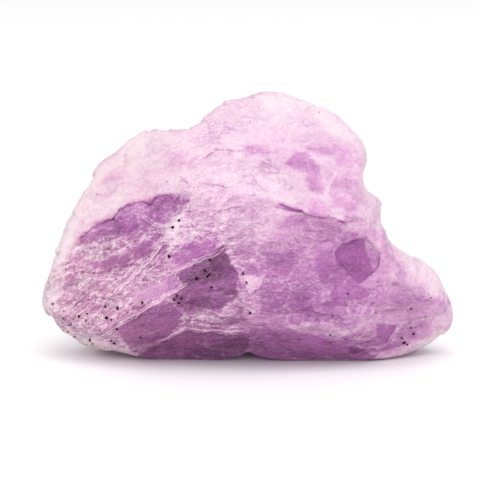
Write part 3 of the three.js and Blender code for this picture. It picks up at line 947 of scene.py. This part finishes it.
# %% Kunzite: cracks and creases; places and widths in mm from the crack
WOBBLE, SHADOW_WOBBLE = 0.7, 0.6
UPPER_LIP, LOWER_LIP, SHADOW_AT = 0.16, -0.22, 0.4
wobble = wisp_swing * WOBBLE
crack = stored("crack way") + wobble
crack_near_here = stored("crack near")
crack_lips = thread(crack, UPPER_LIP, width=0.13) * step_up(wisps, 0.28, 0.42)
crack_lips = crack_lips + thread(crack, LOWER_LIP, width=0.12) * step_up(ragged, 0.45, 0.52)
cracks_here = crack_lips * crack_near_here
beside_crack = math_node("ABSOLUTE", crack + (curls - MIDDLE) * SHADOW_WOBBLE)
crack_shadows = thread(beside_crack, SHADOW_AT, width=0.2) * crack_near_here
# Painted shade along the creases
crease_shade = thread(stored("crease way") + wobble, 0, width=0.25) * stored("crease near")
tell("cracks and creases")

# %% [markdown]
# ## Tone and colour
# All marks meet in one number, the tone. Each moves it by its own weight, so the look is tuned in one
# place. Two ramps then read the tone as colour, and milk covers the frosted spots where the tone is pale.

# %% Kunzite: tone, and how far each mark moves it
moves = SimpleNamespace(
    crown=0.22, clouds=0.16, creases=0.28, crack_shadows=0.14, hollows=0.4, scallops=0.04,
    crown_scallops=0.07, grit=0.4, crown_grit=0.2, lively_grit=0.5, large_steps=0.12, large_slopes=0.2,
    middle_steps=0.08, middle_slopes=0.12, flakes=0.06, cover=0.05, streaks=0.04, dark_curls=0.15,
    dark_fibres=0.14)
MOST_RIDGE_LIGHT, USUAL_STREAKS = -0.05, 0.3
tone = stored("violet") - moves.crown * crown_here
tone = tone + shade * stored("shade violet") + pane * stored("pane violet")
# Creases get painted shade, and cracks a painted shadow on each side
tone = tone + cloud_swing * moves.clouds + crease_shade * moves.creases + crack_shadows * moves.crack_shadows
# Painted shade in the hollows, and a little painted light on the ridges
tone = tone + math_node("MAXIMUM", hollow, MOST_RIDGE_LIGHT) * moves.hollows
tone = tone + (scallop - MIDDLE) * (crown_here * moves.crown_scallops + moves.scallops)
tone = tone + grit_swing * (moves.grit + moves.crown_grit * crown_here) + lively * (
    large_step * moves.large_steps + large_slope * moves.large_slopes
    + middle_step * moves.middle_steps + middle_slope * moves.middle_slopes
    + (flake - MIDDLE) * flaking * moves.flakes + grit_swing * moves.lively_grit
    - (cover - MIDDLE) * moves.cover - (streaks - USUAL_STREAKS) * moves.streaks)
dark_threads = thread(small_curls, 0.58, width=0.05) * moves.dark_curls
dark_threads = dark_threads + thread(fibres, 0.43, width=0.05) * on_left * moves.dark_fibres
tone = tone + dark_threads * lively
tell("tone")

# %% Kunzite: colour of each tone
DUSTY = [(0.0, (0.845, 0.685, 0.705)), (0.3, (0.73, 0.42, 0.57)), (0.6, (0.46, 0.17, 0.34)),
         (1.0, (0.17, 0.03, 0.12))]
PURPLE = [(0.0, (0.85, 0.675, 0.745)), (0.3, (0.715, 0.378, 0.635)), (0.6, (0.44, 0.134, 0.405)),
          (1.0, (0.15, 0.02, 0.13))]
FROST_WHITE = (0.98, 0.79, 0.86, 1)
MILK = (0.89, 0.75, 0.815, 1)
PATCHY, MILKINESS, LESS_IN_VIOLET = 0.8, 2.1, 1.8


def mixed(share, first, second):
    """The first colour, with that share of it replaced by the second."""
    return kunzite.node("ShaderNodeMix", {"data_type": "RGBA"}, {"Factor": share, 6: first, 7: second}, 2)


dusty = kunzite.node("ShaderNodeValToRGB", {"stops": DUSTY}, {"Fac": tone})
purple = kunzite.node("ShaderNodeValToRGB", {"stops": PURPLE}, {"Fac": tone})
color = mixed(stored("clear") + cloud_swing * PATCHY, dusty, purple)
milky = math_node("MAXIMUM", frosting, 0) * (MILKINESS - LESS_IN_VIOLET * step_up(tone, 0.28, 0.55))
color = mixed(milky, color, MILK)
tell("colour and milk")

# %% [markdown]
# ## White threads
# Fresh splits catch the light as thin white lines. They could be painted, but they run through the whole
# stone, so they are drawn where a noise crosses one level or where two facets meet. Five kinds lie over
# each other: curls, small curls, splinters, scratches and splits. Each is whiter on the shattered left end.


# %% Kunzite: white threads
def whitened(shape, shown, white, whiter_on_left):
    """Threads of one shape, where they are shown, and how white they are."""
    return shape * shown * (white + whiter_on_left * on_left)


frosted_wisps = step_up(wisps + frosting * 0.2, 0.46, 0.54)
unfrosted_rags = step_up(ragged - frosting * 0.2, 0.55, 0.46)
threads = whitened(thread(curls, MIDDLE, width=0.04), at_least(0.3, step_up(ragged, 0.42, 0.55)), 0.2, 0.35)
threads = threads + whitened(thread(small_curls, MIDDLE, width=0.045), step_up(clouds, 0.4, 0.55), 0.15, 0.4)
threads = threads + whitened(splinters, frosted_wisps, 0.12, 0.38)
threads = threads + whitened(scratches, unfrosted_rags, 0.12, 0.45)
threads = threads + whitened(splits, at_least(0.2, step_up(wisps, 0.42, 0.56)), 0.3, 0.15)
tell("threads")

# %% Kunzite: painted glints, and all that is white
GLINTS, CRACKS_WHITE, WHITEST = 0.4, 0.9, 0.85
LESS_WHERE_VIOLET, LESS_BY_A_CRACK = 0.7, 0.6
# Painted glints: sparse white flecks where the grit peaks
glint_flecks = step_up(grit, 0.6, 0.66) * step_up(wisps + frosting * 0.4, 0.46, 0.58) * GLINTS
paleness = 1 - LESS_WHERE_VIOLET * step_up(tone, 0.45, 0.75)
white = (threads + glint_flecks) * paleness * at_least(0.15, rugged_here) * (1 - crack_near_here * LESS_BY_A_CRACK)
white = white + cracks_here * CRACKS_WHITE
color = mixed(math_node("MINIMUM", white, WHITEST), color, FROST_WHITE)
tell("white")

# %% [markdown]
# ## Gloss and depth
# A clean split in kunzite is glossy and a frosted one is dull, so the frost adds roughness. The marks that
# are too fine for the skin's quads are a bump. The light that enters is bent by an IOR of 1.66, as in real
# spodumene, and part of it passes on through the stone, which absorbs it.

# %% Kunzite: gloss, depth and the shader
rises = SimpleNamespace(large_slopes=1.2, middle_slopes=0.8, grit=0.2, curls=0.4, flakes=0.25)
SPLIT_FACE, ROUGHER_FROST = 0.2, 0.25
height = large_slope * rises.large_slopes + middle_slope * rises.middle_slopes
height = height + grit * rises.grit * cover + curls * rises.curls + flake * flaking * rises.flakes
bump = kunzite.node("ShaderNodeBump", {}, {
    "Height": height * at_least(0.25, rugged_here), "Distance": 0.35 * MM, "Strength": 1})
body = kunzite.node("ShaderNodeBsdfPrincipled", {}, {
    "Base Color": color, "Roughness": SPLIT_FACE + ROUGHER_FROST * cover, "IOR": 1.66,
    "Transmission Weight": 0.2, "Subsurface Weight": 0.5, "Subsurface Scale": 0.3 * MM,
    "Subsurface Radius": (1, 0.8, 0.9), "Specular IOR Level": 0.18, "Normal": bump})
depth = kunzite.node("ShaderNodeVolumeAbsorption", {}, {"Color": (0.8, 0.5, 0.75, 1), "Density": 120})
kunzite.node("ShaderNodeOutputMaterial", {}, {"Surface": body, "Volume": depth})
tell("shader")

# %% The finished stone
stone.data.materials.clear()
stone.data.materials.append(kunzite.material)
stone.data.shade_smooth()
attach(stone, "root")
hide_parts("kunzite_crystal")
print("finished:", stone.name, "with", len(stone.data.polygons), "quads")

# %% [markdown]
# ## Dark grains
# Grains of a black mineral grew with the crystal and sit in its skin like pepper, most of them low on the
# left end. Many of the small ones are brown. Each is a lump with a few facets, sunk halfway, and all of
# them are one joined mesh, because nobody handles them one by one. Those on the front go where the eye sees
# them, by a ray from the eye, and the rest of the stone gets its own from a fixed seed.

# %% Places of the grains on the front: width (mm) and (u, v) of each
GRAINS = {
    "black, large": (0.52, [
        (-22.9, 2.2), (22.6, 1.8), (-20.5, 5.4), (-10, 7.5), (-10.9, 18.5), (-7.5, 11.1), (-15.3, 7.6),
        (-11.4, 14.3)]),
    "black, on the left end": (0.38, [
        (-24.5, 5.6), (-23.3, 6), (-20.7, 7), (-18.9, 6.7), (-19.4, 1.7), (-19, 3.8), (-25.1, 2.7),
        (-28.3, 7.4), (-19.8, 5.1)]),
    "black, in and round the hollow": (0.38, [
        (-10, 19.5), (-5.6, 11.7), (-6.3, 12.3), (-5.9, 11.4), (-5.3, 9.8), (-5.5, 13.8), (-10.3, 8.6),
        (-10.7, 8), (-9.6, 8.2), (-0.7, 11.8), (-0.2, 10.5), (0.3, 6.1)]),
    "black, on the right": (0.36, [
        (22.3, 2.5), (23.1, 1.5), (24, 3.1), (23.6, 3.9), (14.5, 8.9), (12.3, 5.7), (11.9, 2.9),
        (23.6, 6.7)]),
    "brown, on the body": (0.26, [
        (-26.4, 12.5), (15.9, 8.2), (-14.3, 14.3), (-23.1, 8), (-17.5, 6.2), (-26.1, 4.3), (-26.7, 6.4),
        (-13.1, 3.2), (-15.4, 4.3), (-19.1, 11), (-14.1, 12.8), (-4.9, 15.8), (-10, 6.8), (15.4, 6.3),
        (18.5, 6.2), (25.8, 5.5), (26.5, 8.3)]),
    "brown, near the feet": (0.32, [
        (0.1, 2.7), (1.9, 1.9), (0.8, 3), (1.4, 2.4), (7.4, 2.3), (14.2, 2.3), (11.9, 1.8)]),
    "brown, on the crown": (0.17, [
        (1.5, 36), (0.7, 37.3), (0.3, 33.8), (10.3, 35.2), (8.6, 33.1), (9.4, 24), (17.3, 22.3),
        (18.6, 22.2), (18.9, 22.4), (19.2, 21.9), (11.9, 20.9), (12.1, 20.6), (11.7, 20.3), (-3.6, 23.9),
        (-2.8, 27.6), (-5.1, 33.2), (-3.4, 33.7), (-21.8, 23.3), (-9.3, 27.8), (-11.7, 25.1)]),
}
print("grains on the front:", sum(len(places) for _, places in GRAINS.values()))

# %% Grains on the skin
skin = BVHTree.FromObject(stone, bpy.context.evaluated_depsgraph_get())
eye = Vector(to_room(EYE))
grains = []
for kind, (width, places) in GRAINS.items():
    for place in places:
        aim = Vector(to_room([*place, 0])) - eye
        hit = skin.ray_cast(eye, aim)[0]
        grains.append((hit, width * MM, kind.startswith("brown")))

# %% Pepper: how many more grains, how wide in mm, and how likely they are where
PEPPER, PEPPER_WIDTHS, SMALL = 110, [0.16, 0.22, 0.3, 0.42, 0.55], 3
ANYWHERE, OFF_THE_CROWN, ON_THE_LEFT_END = 0.05, 0.25, 1.2
ABOVE_FLOOR, OFF_THE_OUTLINE = 1 * MM, 0.2
BROWN_SHARE = 0.4
chance = np.random.default_rng(11)
likely = (1 - faces_eye) * (ANYWHERE + OFF_THE_CROWN * (1 - crown) + low_down)
likely += ON_THE_LEFT_END * faces_eye * between(-14, -22, u) * between(10, 4, v)
likely *= (room_points[:, 2] > ABOVE_FLOOR) & (np.abs(normals[:, 2]) > OFF_THE_OUTLINE)
for index in chance.choice(len(points), PEPPER, replace=False, p=likely / likely.sum()):
    width = chance.choice(PEPPER_WIDTHS[:SMALL] if faces_eye[index] > 0 else PEPPER_WIDTHS) * MM
    grains.append((room_points[index], width, chance.random() < BROWN_SHARE))
print("grains in all:", len(grains))

# %% One mesh of all grains
LUMPY, LONG, MIXED = (0.75, 1.25), (0.7, 1.2), 0.1
lump = bmesh.new()
bmesh.ops.create_icosphere(lump, subdivisions=2, radius=0.5)
lump_points = np.array([vertex.co for vertex in lump.verts])
lump_faces = np.array([[vertex.index for vertex in face.verts] for face in lump.faces])
lump.free()

all_points, all_faces, brownness = [], [], []
for middle, width, is_brown in grains:
    turned = Vector(chance.normal(size=3)).to_track_quat("Z", "Y").to_matrix()
    shape = lump_points * chance.uniform(*LUMPY, (len(lump_points), 1)) * chance.uniform(*LONG, 3)
    all_faces.append(lump_faces + len(all_points) * len(lump_points))
    all_points.append(shape @ np.array(turned).T * width + np.array(middle))
    brownness += [(1 - MIXED) * is_brown + MIXED * chance.random()] * len(lump_points)
all_points = np.concatenate(all_points)
all_points[:, 2] = np.maximum(all_points[:, 2], 0)
grain_mesh = bpy.data.meshes.new("dark_grains")
grain_mesh.from_pydata(all_points, [], np.concatenate(all_faces).tolist())
grain_mesh.attributes.new("brown", "FLOAT", "POINT").data.foreach_set("value", brownness)
pepper = bpy.data.objects.new("dark_grains", grain_mesh)
bpy.context.scene.collection.objects.link(pepper)
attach(pepper, "root")
print("faces of the grains:", len(grain_mesh.polygons))

# %% Black mineral
GRAIN_COLORS = [(0.2, (0.008, 0.001, 0.003)), (0.7, (0.05, 0.015, 0.02)), (1.0, (0.16, 0.06, 0.05))]
BROWN, MOTTLED = 0.7, 0.5
GLOSS, DULLER = 0.3, 0.4
black_mineral = Recipe("black_mineral")
where = black_mineral.node("ShaderNodeTexCoord", output="Object")
mottle = black_mineral.node("ShaderNodeTexNoise", {}, {"Vector": where, "Scale": 9000, "Detail": 3})
brown_here = black_mineral.node("ShaderNodeAttribute", {"attribute_name": "brown"}, output="Fac")
grain_color = black_mineral.node("ShaderNodeValToRGB", {"stops": GRAIN_COLORS}, {
    "Fac": BROWN * brown_here + MOTTLED * mottle})
grain_shader = black_mineral.node("ShaderNodeBsdfPrincipled", {}, {
    "Base Color": grain_color, "Roughness": GLOSS + DULLER * mottle, "Specular IOR Level": 0.12})
black_mineral.node("ShaderNodeOutputMaterial", {}, {"Surface": grain_shader})
grain_mesh.materials.append(black_mineral.material)
print("black mineral:", len(black_mineral.tree.nodes), "nodes")

# %% [markdown]
# ## The studio
# A white floor, a white room and two large soft lamps, one overhead and one in front, leave hardly a
# shadow. So the stone shows its own colours, and its relief is told by faint changes of tone.

# %% Floor, in metres
FLOOR_HALF = 3.0
PAPER_WHITE = (0.9, 0.9, 0.9, 1)
floor_mesh = bpy.data.meshes.new("floor")
floor_corners = [(x * FLOOR_HALF, y * FLOOR_HALF, 0) for x, y in [(-1, -1), (1, -1), (1, 1), (-1, 1)]]
floor_mesh.from_pydata(floor_corners, [], [(0, 1, 2, 3)])
floor = bpy.data.objects.new("floor", floor_mesh)
bpy.context.scene.collection.objects.link(floor)
paper = bpy.data.materials.new("white paper")
paper.use_nodes = True
paper.node_tree.nodes["Principled BSDF"].inputs["Base Color"].default_value = PAPER_WHITE
floor.data.materials.append(paper)
print("floor:", 2 * FLOOR_HALF, "m wide")

# %% Lights, in metres and watts
LIT_SPOT = Vector((0, 0, 15 * MM))
world = bpy.data.worlds.new("studio")
bpy.context.scene.world = world
world.use_nodes = True
world.node_tree.nodes["Background"].inputs["Color"].default_value = (1, 1, 1, 1)
world.node_tree.nodes["Background"].inputs["Strength"].default_value = 0.9


def softbox(name, place, size, power):
    """A square lamp that shines at the middle of the stone."""
    lamp = bpy.data.lights.new(name, "AREA")
    lamp.size = size
    lamp.energy = power
    piece = bpy.data.objects.new(name, lamp)
    bpy.context.scene.collection.objects.link(piece)
    piece.location = place
    piece.rotation_euler = (LIT_SPOT - piece.location).to_track_quat("-Z", "Y").to_euler()


softbox("overhead softbox", place=(0.1, -0.3, 1.2), size=1.4, power=8)
softbox("front softbox", place=(0.1, -1.1, 0.35), size=0.8, power=4)
bpy.context.scene.view_settings.view_transform = "Standard"
